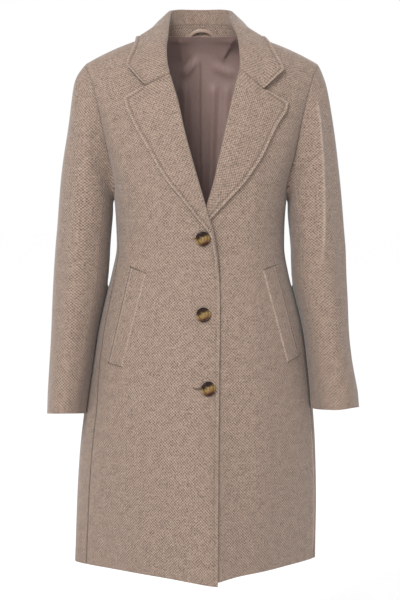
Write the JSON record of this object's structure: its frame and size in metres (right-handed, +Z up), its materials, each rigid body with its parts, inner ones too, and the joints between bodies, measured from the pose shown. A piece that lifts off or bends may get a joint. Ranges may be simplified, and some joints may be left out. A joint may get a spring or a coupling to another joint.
{
  "type": "single-breasted coat",
  "caption": "Women's knee-length single-breasted wool coat with notched lapels, slanted welt pockets and a satin lining, hollow and open as it is worn.",
  "frame": {"origin": "middle of the neck, level with the inner ends of the shoulder seams, where the wearer's shoulders hold the coat", "axes": "+Z up, -Y the way the front faces, +X to the wearer's left"},
  "size_m": [0.5424, 0.3089, 0.9803],
  "materials": {
    "wool_twill": "matt two-tone wool twill",
    "lining_satin": "soft satin sheen",
    "button_horn": "polished mottled horn"
  },
  "bodies": {
    "root": {"front_right": "wool_twill", "front_left": "wool_twill", "back": "wool_twill", "top_sleeve_right": "wool_twill", "top_sleeve_left": "wool_twill", "under_sleeve_right": "wool_twill", "under_sleeve_left": "wool_twill", "lapel_right": "wool_twill", "lapel_left": "wool_twill", "collar": "wool_twill", "collar_stand": "wool_twill", "welt_right": "wool_twill", "welt_left": "wool_twill", "button_top": "button_horn", "button_middle": "button_horn", "button_bottom": "button_horn", "hanger_loop": "lining_satin", "lining_back": "lining_satin", "lining_right": "lining_satin", "lining_left": "lining_satin"}
  },
  "joints": []
}
